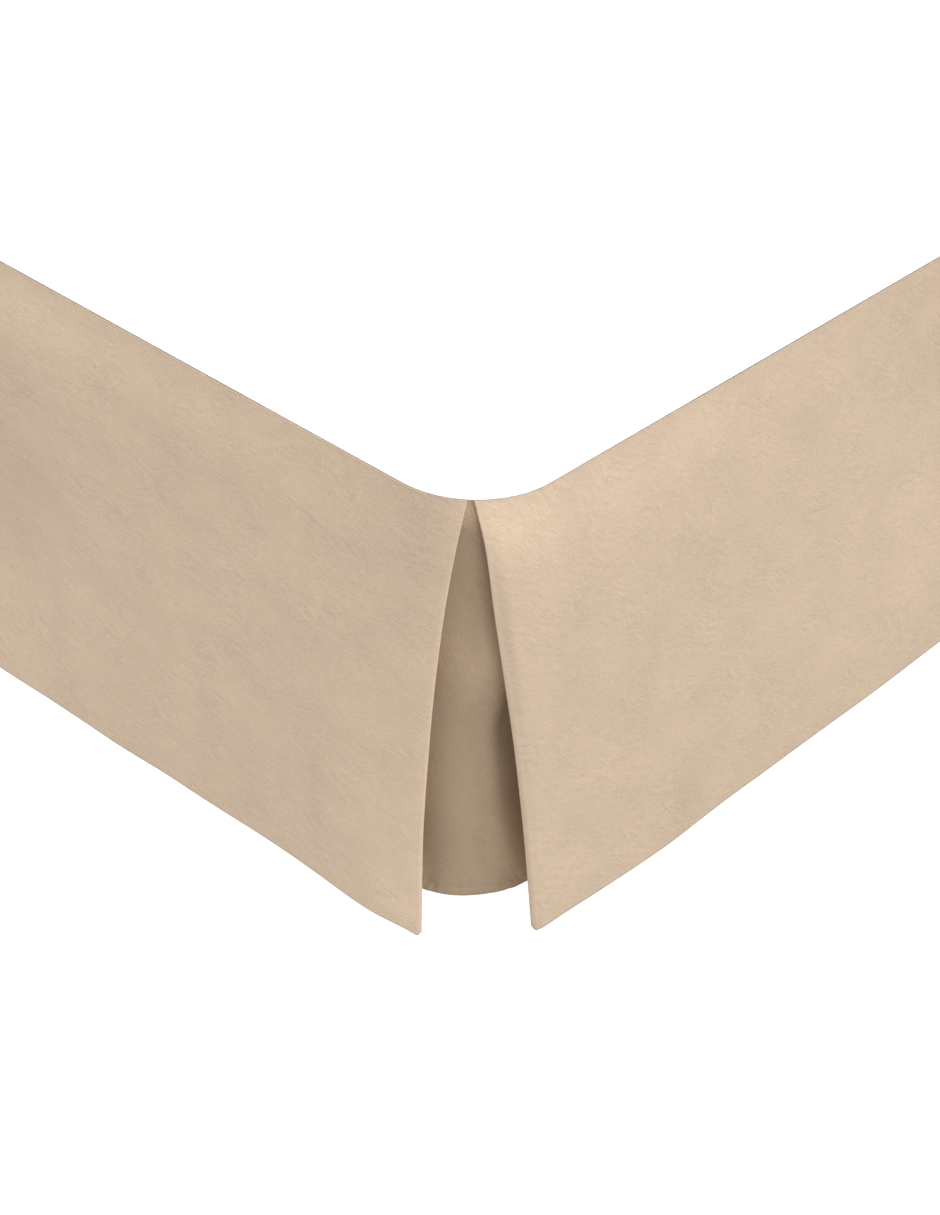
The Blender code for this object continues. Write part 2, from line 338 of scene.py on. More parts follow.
def unevenness(cloth, down, seed):
    """The small, soft unevenness that any hung cloth has."""
    soft = noise.noise(Vector((cloth / 0.10, down / 0.15, seed))) * 0.0008
    small = noise.noise(Vector((cloth / 0.034, down / 0.048, seed + 7))) * 0.00012
    return (soft + small) * ease(down / 0.030)


def hem_relief(cloth, above, seed):
    """The stitched hem: a groove along the stitching, with small puckers on both sides."""
    groove = exp(-(((above - HEM_STITCH) / 0.0011) ** 2)) * HEM_GROOVE
    near = exp(-(((above - HEM_STITCH) / 0.0052) ** 2))
    pucker = noise.noise(Vector((cloth / 0.0065, above / 0.016, seed + 3))) * HEM_PUCKER
    return pucker * near - groove


def drop_relief(creases, shoulders, seed):
    """Relief of one drop, as a function of the column, the depth and the height.

    shoulders tells how far the cloth swells out below its top edge, along the drop.
    """

    def relief(column, down, above):
        swell = ease(down / SWELL_DEPTH)
        swell *= 1 - SWELL_LOSS * ease((down - SWELL_DEPTH) / SWELL_LENGTH)
        height = crease_height(creases, column.cloth, down) * ease(down / CREASES_FROM)
        height += lean_at(shoulders, column.cloth) * swell + unevenness(column.cloth, down, seed)
        height *= ease(column.tip / FLAT_BY_FOLD)
        return column.front * height + DROP_HEM * hem_relief(column.cloth, above, seed)

    return relief


def drop_painted_shading(painted_patches, painted_shading):
    """Painted light and shade of one drop: a painted highlight along the fold and on its edge, and patches
    of painted light and shade.
    """

    def tone(column, down):
        fold = painted_shading * ease(down / FOLD_HIGHLIGHT_FULL) * exp(-column.tip / FOLD_HIGHLIGHT_WIDTH)
        fold += FOLD_EDGE_HIGHLIGHT * exp(-column.tip / FOLD_EDGE_HIGHLIGHT_WIDTH)
        return column.front * (fold + crease_height(painted_patches, column.cloth, down))

    return tone


def sheet_rows(drop):
    """Heights of a sheet's rows: (share of the drop, depth behind the front, rise)."""
    hem_rows = [HEM_WIDTH, 0.0088, HEM_STITCH, 0.0062, 0.0048, 0.0034, 0.0020, 0.0008, 0.0]
    hem_start = 1 - (hem_rows[0] + HEM_TURN) / drop
    rows = [(hem_start * k / BODY_ROWS, 0.0, 0.0) for k in range(BODY_ROWS)]
    rows.insert(1, (TOP_EDGE / drop, 0.0, 0.0))
    rows += [(1 - (above + HEM_TURN) / drop, 0.0, 0.0) for above in hem_rows]
    bottom = 1 - HEM_TURN / drop
    for k in range(1, 5):
        angle = pi * k / 4
        rows.append((bottom, HEM_TURN * (1 - cos(angle)), -HEM_TURN * sin(angle)))
    for above in (0.002, 0.004, 0.006, HEM_STITCH, HEM_WIDTH):
        rows.append((1 - (above + HEM_TURN) / drop, 2 * HEM_TURN, 0.0))
    return rows


def hanging_sheet(name, columns_at, to_world, rim_of, drop, tip_round, relief, tone, material):
    """A hemmed sheet, made row by row from the top edge to the hem and up behind it.

    rim_of gives the height of the top edge at a column, tip_round the radius of the lowest
    tip at a fold, and tone the painted light and shade of the cloth; the top edge and the
    hem's turn get painted shade as well. The places and outward directions of the stitched
    row come back with the sheet.
    """
    grid, cloths, edges, stitched = [], [], [], []
    for share, behind, rise in sheet_rows(drop):
        columns = columns_at(section_at(share))
        row = []
        for k, column in enumerate(columns):
            before = columns[max(k - 1, 0)].place
            after = columns[min(k + 1, len(columns) - 1)].place
            along = (after - before).normalized()
            outward = Vector((along.y, -along.x))
            down = share * drop
            above = drop - down - HEM_TURN
            offset = relief(column, down, above) - behind
            plan = column.place + outward * offset
            lift = 0.0
            if column.front < 1 or column.tip < tip_round:
                inside_round = tip_round - column.tip
                lift = tip_round - sqrt(max(tip_round**2 - inside_round**2, 0.0))
            top = rim_of(column) if share == 0 else RIM if drop == DROP else UNDER_DECK
            x, y = to_world(plan)
            row.append(Vector((x, y, top - share * (drop - lift) + rise)))
            if abs(above - HEM_STITCH) < 1e-6 and not behind and column.front == 1:
                x, y = to_world(plan + outward)
                stitched.append((row[-1], Vector((x, y, row[-1].z)) - row[-1], column.cloth))
        grid.append(row)
        cloths.append([(c.cloth, -down - behind) for c in columns])
        # Painted shade along the top edge and round the hem's turn, less the tone's painted light and shade;
        # it becomes the sheet's edge attribute
        edge_shade = 1.0 if share == 0 or behind and rise else exp(-((above / EDGE_SHADE_WIDTH) ** 2))
        edges.append([edge_shade - tone(c, down) for c in columns])
    wide = len(grid[0])
    points = [p for row in grid for p in row]
    flat_cloths = [c for row in cloths for c in row]
    faces = []
    for i in range(len(grid) - 1):
        for k in range(wide - 1):
            a = i * wide + k
            faces.append((a, a + wide, a + wide + 1, a + 1))
    mesh = bpy.data.meshes.new(name)
    mesh.from_pydata(points, [], faces)
    layer = mesh.uv_layers.new(name="cloth")
    for loop in mesh.loops:
        layer.data[loop.index].uv = flat_cloths[loop.vertex_index]
    edge = mesh.attributes.new("edge", "FLOAT", "POINT")
    edge.data.foreach_set("value", [e for row in edges for e in row])
    mesh.materials.append(material)
    piece = bpy.data.objects.new(name, mesh)
    bpy.context.scene.collection.objects.link(piece)
    finish_with(piece, "SOLIDIFY", thickness=SHEET, offset=0)
    close_up(piece)
    return piece, stitched


def finish_with(piece, kind, **values):
    """Applies one modifier to a piece."""
    bpy.ops.object.select_all(action="DESELECT")
    bpy.context.view_layer.objects.active = piece
    piece.select_set(True)
    modifier = piece.modifiers.new(kind.lower(), kind)
    for key, value in values.items():
        setattr(modifier, key, value)
    bpy.ops.object.modifier_apply(modifier=modifier.name)
    piece.select_set(False)


def close_up(piece, sharp=60):
    """Turns all faces of a closed piece outwards and shades its round parts smooth."""
    bpy.ops.object.select_all(action="DESELECT")
    bpy.context.view_layer.objects.active = piece
    piece.select_set(True)
    bpy.ops.object.mode_set(mode="EDIT")
    bpy.ops.mesh.select_all(action="SELECT")
    bpy.ops.mesh.normals_make_consistent(inside=False)
    bpy.ops.object.mode_set(mode="OBJECT")
    bpy.ops.object.shade_smooth_by_angle(angle=radians(sharp))
    piece.select_set(False)


def add_node(tree, kind, inputs=(), **values):
    """A node with its values, and with its inputs set or linked by name or number."""
    made = tree.nodes.new("ShaderNode" + kind)
    for key, value in values.items():
        setattr(made, key, value)
    for key, value in dict(inputs).items():
        if isinstance(value, bpy.types.NodeSocket):
            tree.links.new(value, made.inputs[key])
        else:
            made.inputs[key].default_value = value
    return made


def new_material(name):
    """An empty material, with its tree and its shader."""
    material = bpy.data.materials.new(name)
    material.use_nodes = True
    return material, material.node_tree, material.node_tree.nodes["Principled BSDF"]


def brushed_cloth(name, colour, lie):
    """Brushed microfibre: a short nap in soft strokes, at the angle lie, over a fine grain."""
    material, tree, shader = new_material(name)
    cloth = add_node(tree, "UVMap", uv_map="cloth").outputs["UV"]
    drift = add_node(tree, "TexNoise", {"Vector": cloth, "Scale": 11.0, "Detail": 2.0})
    centred = add_node(
        tree, "VectorMath", {0: drift.outputs["Color"], 1: (0.5, 0.5, 0.5)}, operation="SUBTRACT"
    )
    pushed = add_node(
        tree, "VectorMath", {0: centred.outputs[0], "Scale": 0.032}, operation="SCALE"
    )
    bent = add_node(tree, "VectorMath", {0: cloth, 1: pushed.outputs[0]}, operation="ADD")

    def strokes(length, width, turn, shift):
        placed = add_node(
            tree,
            "Mapping",
            {
                "Vector": bent.outputs[0],
                "Location": (shift, shift, 0),
                "Rotation": (0, 0, radians(turn)),
                "Scale": (length, width, 1),
            },
            vector_type="TEXTURE",
        )
        return add_node(
            tree,
            "TexNoise",
            {"Vector": placed.outputs[0], "Scale": 1.0, "Detail": 4.0, "Roughness": 0.62},
        ).outputs["Fac"]

    def weighted(fac, weight, before=None):
        inputs = {0: fac, 1: weight, 2: before if before else -0.5 * weight}
        summed = add_node(tree, "Math", inputs, operation="MULTIPLY_ADD").outputs[0]
        if before:
            summed = add_node(tree, "Math", {0: summed, 1: -0.5 * weight}, operation="ADD").outputs[0]
        return summed

    patches = add_node(tree, "TexNoise", {"Vector": cloth, "Scale": 24.0, "Detail": 1.0})
    brushed = add_node(tree, "MapRange", {0: patches.outputs["Fac"], 1: 0.38, 2: 0.66, 3: 0.35, 4: 1.0})
    wisps = weighted(strokes(0.0085, 0.0019, lie, 0.0), 3.0)
    wisps = weighted(strokes(0.0150, 0.0046, lie + 12, 0.7), 2.8, wisps)
    wisps = add_node(tree, "Math", {0: wisps, 1: brushed.outputs[0]}, operation="MULTIPLY").outputs[0]
    tone = weighted(strokes(0.060, 0.040, lie, 0.4), 1.9, wisps)
    grain = add_node(tree, "TexNoise", {"Vector": cloth, "Scale": 420.0, "Detail": 3.0, "Roughness": 0.75})
    tone = weighted(grain.outputs["Fac"], 2.8, tone)
    level = add_node(tree, "MapRange", {0: tone, 1: -1.0, 2: 1.0, 3: 0.89, 4: 1.11})
    # The edge attribute is painted light and shade: above 0 darker, below 0 lighter
    edge = add_node(tree, "Attribute", attribute_name="edge").outputs["Fac"]
    painted_shading = add_node(tree, "MapRange", {0: edge, 1: -3.0, 2: 3.0, 3: 1.42, 4: 0.58})
    shade = add_node(tree, "Math", {0: level.outputs[0], 1: painted_shading.outputs[0]}, operation="MULTIPLY")
    dyed = add_node(tree, "VectorMath", {0: colour, "Scale": shade.outputs[0]}, operation="SCALE")
    tree.links.new(dyed.outputs[0], shader.inputs["Base Color"])
    bump = add_node(tree, "Bump", {"Height": tone, "Strength": 0.35, "Distance": 0.0004})
    tree.links.new(bump.outputs[0], shader.inputs["Normal"])
    shader.inputs["Roughness"].default_value = 0.95
    shader.inputs["Specular IOR Level"].default_value = 0.2
    shader.inputs["Sheen Weight"].default_value = 0.18
    shader.inputs["Sheen Roughness"].default_value = 0.5
    shader.inputs["Sheen Tint"].default_value = (1.0, 0.95, 0.88, 1)
    return material


def thread_material(name, colour):
    """Sewing thread, with the slant of its twist."""
    material, tree, shader = new_material(name)
    place = add_node(tree, "TexCoord").outputs["Object"]
    twist = add_node(
        tree, "TexWave", {"Vector": place, "Scale": 900.0, "Distortion": 1.0}, bands_direction="DIAGONAL"
    )
    mixed = add_node(tree, "Mix", {0: twist.outputs["Fac"]}, data_type="RGBA")
    mixed.inputs[6].default_value = (*[c * 0.86 for c in colour], 1)
    mixed.inputs[7].default_value = (*colour, 1)
    tree.links.new(mixed.outputs[2], shader.inputs["Base Color"])
    shader.inputs["Roughness"].default_value = 0.7
    return material


def sew(name, line, pitch, stitch, material):
    """Copies of one stitch along a line of (place, outward direction, cloth measure)."""
    if line[0][2] > line[-1][2]:
        line = line[::-1]
    bm = bmesh.new()
    at = line[0][2] + pitch
    k = 0
    while at < line[-1][2] - pitch:
        while line[k + 1][2] < at:
            k += 1
        share = (at - line[k][2]) / (line[k + 1][2] - line[k][2])
        along = (line[k + 1][0] - line[k][0]).normalized()
        outward = line[k][1].lerp(line[k + 1][1], share).normalized()
        across = outward.cross(along).normalized()
        place = line[k][0].lerp(line[k + 1][0], share) + outward * SHEET / 2
        pose = Matrix((along, across, outward)).transposed().to_4x4()
        first = len(bm.verts)
        bm.from_mesh(stitch.data)
        bm.verts.ensure_lookup_table()
        bmesh.ops.transform(bm, matrix=Matrix.Translation(place) @ pose, verts=bm.verts[first:])
        at += pitch
    mesh = bpy.data.meshes.new(name)
    bm.to_mesh(mesh)
    bm.free()
    mesh.materials.append(material)
    seam = bpy.data.objects.new(name, mesh)
    bpy.context.scene.collection.objects.link(seam)
    close_up(seam)
    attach(seam, "root")
    return seam


def add_stitch(length, radius):
    """One stitch along X that dips into the cloth at both ends, for copying."""
    bpy.ops.mesh.primitive_cylinder_add(
        vertices=6, radius=radius, depth=length * 0.6, location=(0, 0, radius * 0.6), rotation=(0, pi / 2, 0)
    )
    stitch = bpy.context.object
    bpy.ops.object.transform_apply(location=True, rotation=True, scale=True)
    bpy.ops.object.mode_set(mode="EDIT")
    for side in (-1, 1):
        bpy.ops.mesh.select_all(action="DESELECT")
        select_faces(stitch, lambda f: f.normal.x * side > 0.9)
        bpy.ops.mesh.extrude_region_move(TRANSFORM_OT_translate={"value": (side * length * 0.2, 0, -radius)})
        bpy.ops.transform.resize(value=(1, 0.5, 0.5))
    bpy.ops.object.mode_set(mode="OBJECT")
    stitch.select_set(False)
    return stitch


def select_faces(piece, wanted):
    """Selects faces in edit mode by a test."""
    bm = bmesh.from_edit_mesh(piece.data)
    for face in bm.faces:
        if wanted(face):
            face.select_set(True)
    bm.select_flush_mode()
    bmesh.update_edit_mesh(piece.data)


SAND = (0.600, 0.462, 0.336)
foot_cloth = brushed_cloth("foot_cloth", SAND, 4)
skirt_thread = thread_material("skirt_thread", [c * 0.97 for c in SAND])
STITCH_PITCH = 0.0034
skirt_stitch = add_stitch(0.0026, 0.00020)


def rim_over_deck(column):
    """Height of the top edge: the front meets the deck, the returns pass under it."""
    return UNDER_DECK + (RIM - UNDER_DECK) * ease(2 * column.front - 0.5)


foot_drop, foot_hem_line = hanging_sheet(
    "foot_drop_cloth",
    lambda section: drop_columns(section, section.foot_reach, FOOT_WAVES, BED_WIDTH, True),
    lambda p: (SIDE_X - p.x, FOOT_Y + p.y),
    rim_over_deck,
    DROP,
    FOOT_TIP,
    drop_relief(FOOT_CREASES, FOOT_SHOULDERS, 1.0),
    drop_painted_shading(FOOT_PAINTED_PATCHES, FOOT_FOLD_HIGHLIGHT),
    foot_cloth,
)
foot_stitching = sew("foot_hem_stitching", foot_hem_line, STITCH_PITCH, skirt_stitch, skirt_thread)
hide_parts("foot_drop")
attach(foot_drop, "root")


# Side drops
# One long panel on each side of the bed, of the same cloth. Each has a fold at the foot
# corner and ends in a plain edge at the head. The left one mirrors the right one.
SIDE_WAVES = [
    Wave(0.068, 0.0000),
    Wave(0.195, 0.0042),
    Wave(0.300, 0.0014),
    Wave(0.440, 0.0000),
    Wave(0.570, -0.0036),
    Wave(0.740, 0.0030),
    Wave(0.930, -0.0022),
    Wave(1.120, 0.0028),
    Wave(1.330, -0.0016),
    Wave(1.520, 0.0032),
    Wave(1.730, -0.0024),
    Wave(1.900, 0.0018),
    Wave(2.032, -0.0010),
]
SIDE_CREASES = [
    Crease(0.490, 0.140, 0.160, 0.065, 40, -0.0062),
    Crease(0.205, 0.340, 0.045, 0.022, 0, 0.0010),
    Crease(0.180, 0.225, 0.050, 0.024, 8, 0.0007),
    Crease(0.330, 0.120, 0.100, 0.050, 12, -0.0007),
    Crease(0.700, 0.200, 0.150, 0.060, -6, 0.0030),
    Crease(0.960, 0.180, 0.130, 0.055, 8, -0.0026),
    Crease(1.220, 0.220, 0.140, 0.060, -8, 0.0032),
    Crease(1.480, 0.190, 0.120, 0.055, 6, -0.0024),
    Crease(1.740, 0.230, 0.140, 0.060, -5, 0.0030),
]
SIDE_SHOULDERS = [
    Wave(0.050, 0.0040),
    Wave(0.170, 0.0036),
    Wave(0.340, 0.0032),
    Wave(0.700, 0.0028),
    Wave(1.100, 0.0012),
    Wave(1.500, 0.0030),
    Wave(2.032, 0.0014),
]

# Patches of painted light and painted shade on the side drops, the lightest at the top by the fold
SIDE_PAINTED_PATCHES = [
    Crease(0.093, 0.122, 0.018, 0.014, 0, -0.30),
    Crease(0.179, 0.175, 0.030, 0.016, 0, -0.35),
    Crease(0.228, 0.343, 0.030, 0.018, 0, -0.45),
    Crease(0.020, 0.012, 0.040, 0.040, 0, 0.90),
    Crease(0.420, 0.190, 0.180, 0.130, 0, 0.30),
    Crease(0.500, 0.290, 0.100, 0.070, 0, 0.30),
    Crease(0.060, 0.350, 0.050, 0.045, 0, 0.30),
]
SIDE_TIP = 0.0024
SIDE_FOLD_HIGHLIGHT = 0.0

side_cloth = brushed_cloth("side_cloth", SAND, -45)
for name, side in (("right", 1), ("left", -1)):
    side_drop, side_hem_line = hanging_sheet(
        "side_drop_cloth_" + name,
        lambda section: drop_columns(section, section.side_reach, SIDE_WAVES, BED_LENGTH, False),
        lambda p, side=side: (side * (SIDE_X - p.y), FOOT_Y + p.x),
        rim_over_deck,
        DROP,
        SIDE_TIP,
        drop_relief(SIDE_CREASES, SIDE_SHOULDERS, 2.0 + side),
        drop_painted_shading(SIDE_PAINTED_PATCHES, SIDE_FOLD_HIGHLIGHT),
        side_cloth,
    )
    side_stitching = sew(
        "side_hem_stitching_" + name, side_hem_line, STITCH_PITCH, skirt_stitch, skirt_thread
    )
    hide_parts("side_drop_" + name)
    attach(side_drop, "root")


# Corner underlays
# The panel that closes each pleat behind the two folds. It is sewn to the ends of the
# returns, hangs in a round behind the opening, and swings a little in under the base.
UNDERLAY_SHORTER = 0.008
UNDERLAY_DROP = DROP - UNDERLAY_SHORTER
UNDERLAY_SWAY_FROM = 0.110
UNDERLAY_SWAY_FULL = 0.170
LAYER_GAP = 0.0005
UNDERLAY_STEPS = 90
UNDERLAY_LEG_STEPS = 22
UNDERLAY_HEM = 1.6


def underlay_leg(section, waves, tuck, corner):
    """Places of one half of the underlay, from its seam to its oval corner."""
    seam_depth = 1.5 * CLOTH + 2 * section.roll + LAYER_GAP
    places = []
    for k in range(UNDERLAY_LEG_STEPS + 1):
        share = k / UNDERLAY_LEG_STEPS
        along = RETURN_END + (seam_depth + corner - RETURN_END) * share
        sway = ease((along - UNDERLAY_SWAY_FROM) / (UNDERLAY_SWAY_FULL - UNDERLAY_SWAY_FROM))
        lean = section.corner_sway * sway * lean_at(waves, along)
        places.append(Vector((along, seam_depth + tuck * ease(share) - lean)))
    return places


def underlay_columns(section):
    """Columns of a corner underlay, as (from the side, from the foot) of the sharp corner."""
    corner = Vector((section.side_tuck + section.foot_round, section.foot_tuck + section.side_round))
    foot_leg = underlay_leg(section, FOOT_WAVES, section.foot_tuck, corner.x)
    side_leg = underlay_leg(section, SIDE_WAVES, section.side_tuck, corner.y)
    places = list(foot_leg)
    for k in range(1, UNDERLAY_STEPS):
        angle = pi / 2 * k / UNDERLAY_STEPS
        spoke = Vector((section.foot_round * sin(angle), section.side_round * cos(angle)))
        places.append(Vector((foot_leg[-1].x, side_leg[-1].x)) - spoke)
    places += [Vector((p.y, p.x)) for p in side_leg[::-1]]
    half = len(places) // 2
    cloth = [0.0]
    for before, after in zip(places, places[1:]):
        cloth.append(cloth[-1] + (after - before).length)
    columns = [Column(p, c - cloth[half], 1.0, 1.0) for p, c in zip(places, cloth)]
    return columns[::-1]


# Places of these are measured along the cloth from the middle of the round corner
UNDERLAY_CREASES = [
    Crease(-0.002, 0.250, 0.120, 0.020, 0, 0.0016),
    Crease(-0.028, 0.300, 0.090, 0.010, 3, -0.0008),
    Crease(0.008, 0.380, 0.070, 0.030, 0, -0.0032),
    Crease(-0.030, 0.366, 0.007, 0.0018, -40, -0.0012),
    Crease(-0.025, 0.368, 0.005, 0.0015, -35, -0.0008),
    Crease(0.029, 0.368, 0.006, 0.0016, 30, -0.0010),
    Crease(0.036, 0.365, 0.008, 0.0018, 38, -0.0014),
    Crease(0.042, 0.366, 0.007, 0.0016, 30, -0.0013),
]


# Patches of painted light and shade on the underlay: a painted highlight at the top, thin painted shadows
# beside the folds below it, a painted shadow along the side drop's fold, and painted light and shade near
# the hem
UNDERLAY_PAINTED_PATCHES = [
    Crease(-0.004, 0.000, 0.030, 0.020, 0, 1.30),
    Crease(-0.0125, 0.022, 0.030, 0.0014, -13, -1.60),
    Crease(0.0030, 0.022, 0.035, 0.0013, 14, -1.20),
    Crease(0.042, 0.190, 0.070, 0.006, 4, -1.80),
    Crease(-0.024, 0.330, 0.050, 0.010, 0, -0.30),
    Crease(0.012, 0.355, 0.035, 0.012, 0, 0.60),
    Crease(0.044, 0.352, 0.040, 0.014, 0, 2.40),
]
# The same sand made browner: painted shade of the pleat's recess
UNDERLAY_SHADED_SAND = (0.600, 0.450, 0.304)
underlay_shaded_cloth = brushed_cloth("underlay_shaded_cloth", UNDERLAY_SHADED_SAND, -50)


def underlay_relief(column, down, above):
    """Soft folds of the underlay, whose hem is more puckered than those of the drops."""
    height = crease_height(UNDERLAY_CREASES, column.cloth, down)
    height += 0.5 * unevenness(column.cloth, down, 6.0) * ease((down - 0.14) / 0.05)
    return height + UNDERLAY_HEM * hem_relief(column.cloth, above, 6.0)


def underlay_painted_shading(column, down):
    """Painted light and shade of the underlay, from its patches."""
    return crease_height(UNDERLAY_PAINTED_PATCHES, column.cloth, down)


for section in (SECTIONS[0], SECTIONS[-1]):
    columns = underlay_columns(section)
for name, side in (("right", 1), ("left", -1)):
    underlay, underlay_hem_line = hanging_sheet(
        "corner_underlay_cloth_" + name,
        underlay_columns,
        lambda p, side=side: (side * (SIDE_X - p.x), FOOT_Y + p.y),
        lambda column: UNDER_DECK,
        UNDERLAY_DROP,
        FOOT_TIP,
        underlay_relief,
        underlay_painted_shading,
        underlay_shaded_cloth,
    )
    underlay_stitching = sew(
        "underlay_hem_stitching_" + name, underlay_hem_line, STITCH_PITCH, skirt_stitch, skirt_thread
    )
    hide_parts("corner_underlay_" + name)
    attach(underlay, "root")


# Deck panel
# The white plain-woven sheet that lies on the base under the mattress. Its edge is doubled
# where the drops are sewn on, and faint creases remain from its folding in the pack.
DECK_CLOTH = 0.0006
DECK_INSET = 0.0020
DECK_LOW = TOP - 0.0018 + 0.0001 + DECK_CLOTH / 2
DECK_HIGH = TOP - DECK_CLOTH / 2
DECK_SEAM = 0.012
DECK_COLUMNS = 124
DECK_ROWS = 158
DECK_CORNER_ROWS = 14
PACK_CREASE_WIDTH = 0.0045
PACK_CREASE_HEIGHT = 0.0009
DECK_STITCH = 0.0085
deck_half = SIDE_X - DECK_INSET
deck_foot = FOOT_Y + DECK_INSET
deck_head = -FOOT_Y - 0.0005
deck_radius = CORNER_RADIUS - DECK_INSET


def deck_half_at(y):
    """Half the deck's width, which narrows in the two round foot corners."""
    short = max(deck_foot + deck_radius - y, 0.0)
    return deck_half - deck_radius + sqrt(max(deck_radius**2 - short**2, 0.0))


def deck_height(x, y):
    """The deck lies on the base, rises to its doubled edge, and has soft creases."""
    inward = min(deck_half_at(y) - abs(x), y - deck_foot, deck_head - y)
    doubled = 1 - ease((inward - DECK_SEAM) / 0.004)
    height = DECK_LOW + (DECK_HIGH - DECK_LOW) * doubled
    free = ease((inward - DECK_SEAM) / 0.050)
    for k in (-1, 0, 1):
        crease = exp(-(((x - k * deck_half / 2) / PACK_CREASE_WIDTH) ** 2))
        crease += exp(-(((y - k * BED_LENGTH / 4) / PACK_CREASE_WIDTH) ** 2))
        height += PACK_CREASE_HEIGHT * crease * free
    soft = max(noise.noise(Vector((x / 0.22, y / 0.16, 4.0))), 0.0) ** 2
    return height + 0.006 * soft * free


corner_ys = [
    deck_foot + deck_radius * (1 - cos(pi / 2 * (k + 0.35) / DECK_CORNER_ROWS))
    for k in range(DECK_CORNER_ROWS)
]
straight = deck_head - deck_foot - deck_radius
straight_ys = [deck_foot + deck_radius + straight * k / DECK_ROWS for k in range(DECK_ROWS + 1)]
edge_ys = [deck_head - DECK_SEAM, deck_head - DECK_SEAM / 2]
deck_ys = sorted([deck_foot] + corner_ys + straight_ys + edge_ys)
edge_shares = [DECK_SEAM / 2 / deck_half, DECK_SEAM / deck_half, 1.4 * DECK_SEAM / deck_half]
deck_shares = [-1 + 2 * k / DECK_COLUMNS for k in range(DECK_COLUMNS + 1)]
deck_shares = sorted(deck_shares + [s * (1 - e) for e in edge_shares for s in (-1, 1)])
deck_points = []
for y in deck_ys:
    for share in deck_shares:
        x = share * deck_half_at(y)
        deck_points.append(Vector((x, y, deck_height(x, y))))
wide = len(deck_shares)
deck_faces = [
    (i * wide + k, i * wide + k + 1, (i + 1) * wide + k + 1, (i + 1) * wide + k)
    for i in range(len(deck_ys) - 1)
    for k in range(wide - 1)
]
deck_mesh = bpy.data.meshes.new("deck_cloth_sheet")
deck_mesh.from_pydata(deck_points, [], deck_faces)
deck = bpy.data.objects.new("deck_cloth_sheet", deck_mesh)
bpy.context.scene.collection.objects.link(deck)


def build_weave():
    """Node group: a plain weave of two sets of threads, as a height and as a shade."""
    group = bpy.data.node_groups.new("plain_weave", "ShaderNodeTree")
    group.interface.new_socket("Place", in_out="INPUT", socket_type="NodeSocketVector")
    group.interface.new_socket("Threads per metre", in_out="INPUT", socket_type="NodeSocketFloat")
    group.interface.new_socket("Slubs", in_out="INPUT", socket_type="NodeSocketFloat")
    group.interface.new_socket("Height", in_out="OUTPUT", socket_type="NodeSocketFloat")
    group.interface.new_socket("Shade", in_out="OUTPUT", socket_type="NodeSocketFloat")
    start = group.nodes.new("NodeGroupInput")
    end = group.nodes.new("NodeGroupOutput")
    turn = add_node(group, "Math", {0: start.outputs[1], 1: pi}, operation="MULTIPLY").outputs[0]
    placed = add_node(group, "VectorMath", {0: start.outputs[0], "Scale": turn}, operation="SCALE")
    parts = add_node(group, "SeparateXYZ", {0: placed.outputs[0]})
    waves = []
    for axis in (0, 1):
        waves.append(add_node(group, "Math", {0: parts.outputs[axis]}, operation="SINE").outputs[0])
    crossing = add_node(group, "Math", {0: waves[0], 1: waves[1]}, operation="MULTIPLY").outputs[0]
    height = add_node(group, "MapRange", {0: crossing, 1: -1.0, 2: 1.0}).outputs[0]
    stretched = add_node(group, "Mapping", {"Vector": start.outputs[0], "Scale": (18, 900, 1)})
    slubs = add_node(group, "TexNoise", {"Vector": stretched.outputs[0], "Scale": 1.0, "Detail": 2.0})
    uneven = add_node(
        group, "Math", {0: slubs.outputs["Fac"], 1: start.outputs[2], 2: height}, operation="MULTIPLY_ADD"
    )
    group.links.new(uneven.outputs[0], end.inputs[0])
    shade = add_node(group, "MapRange", {0: uneven.outputs[0], 1: 0.0, 2: 1.6, 3: 0.93, 4: 1.0})
    group.links.new(shade.outputs[0], end.inputs[1])
    return group


weave = build_weave()


def woven_cloth(name, colour, threads, slubs, roughness):
    """Plain-woven cloth whose threads run along X and Y."""
    material, tree, shader = new_material(name)
    place = add_node(tree, "TexCoord").outputs["Object"]
    woven = add_node(tree, "Group", node_tree=weave)
    tree.links.new(place, woven.inputs["Place"])
    woven.inputs["Threads per metre"].default_value = threads
    woven.inputs["Slubs"].default_value = slubs
    cloudy = add_node(tree, "TexNoise", {"Vector": place, "Scale": 6.0, "Detail": 3.0})
    soft = add_node(tree, "MapRange", {0: cloudy.outputs["Fac"], 3: 0.97, 4: 1.03})
    shade = add_node(tree, "Math", {0: woven.outputs[1], 1: soft.outputs[0]}, operation="MULTIPLY")
    dyed = add_node(tree, "VectorMath", {0: colour, "Scale": shade.outputs[0]}, operation="SCALE")
    tree.links.new(dyed.outputs[0], shader.inputs["Base Color"])
    bump = add_node(tree, "Bump", {"Height": woven.outputs[0], "Strength": 0.4, "Distance": 0.0002})
    tree.links.new(bump.outputs[0], shader.inputs["Normal"])
    shader.inputs["Roughness"].default_value = roughness
    shader.inputs["Specular IOR Level"].default_value = 0.25
    return material


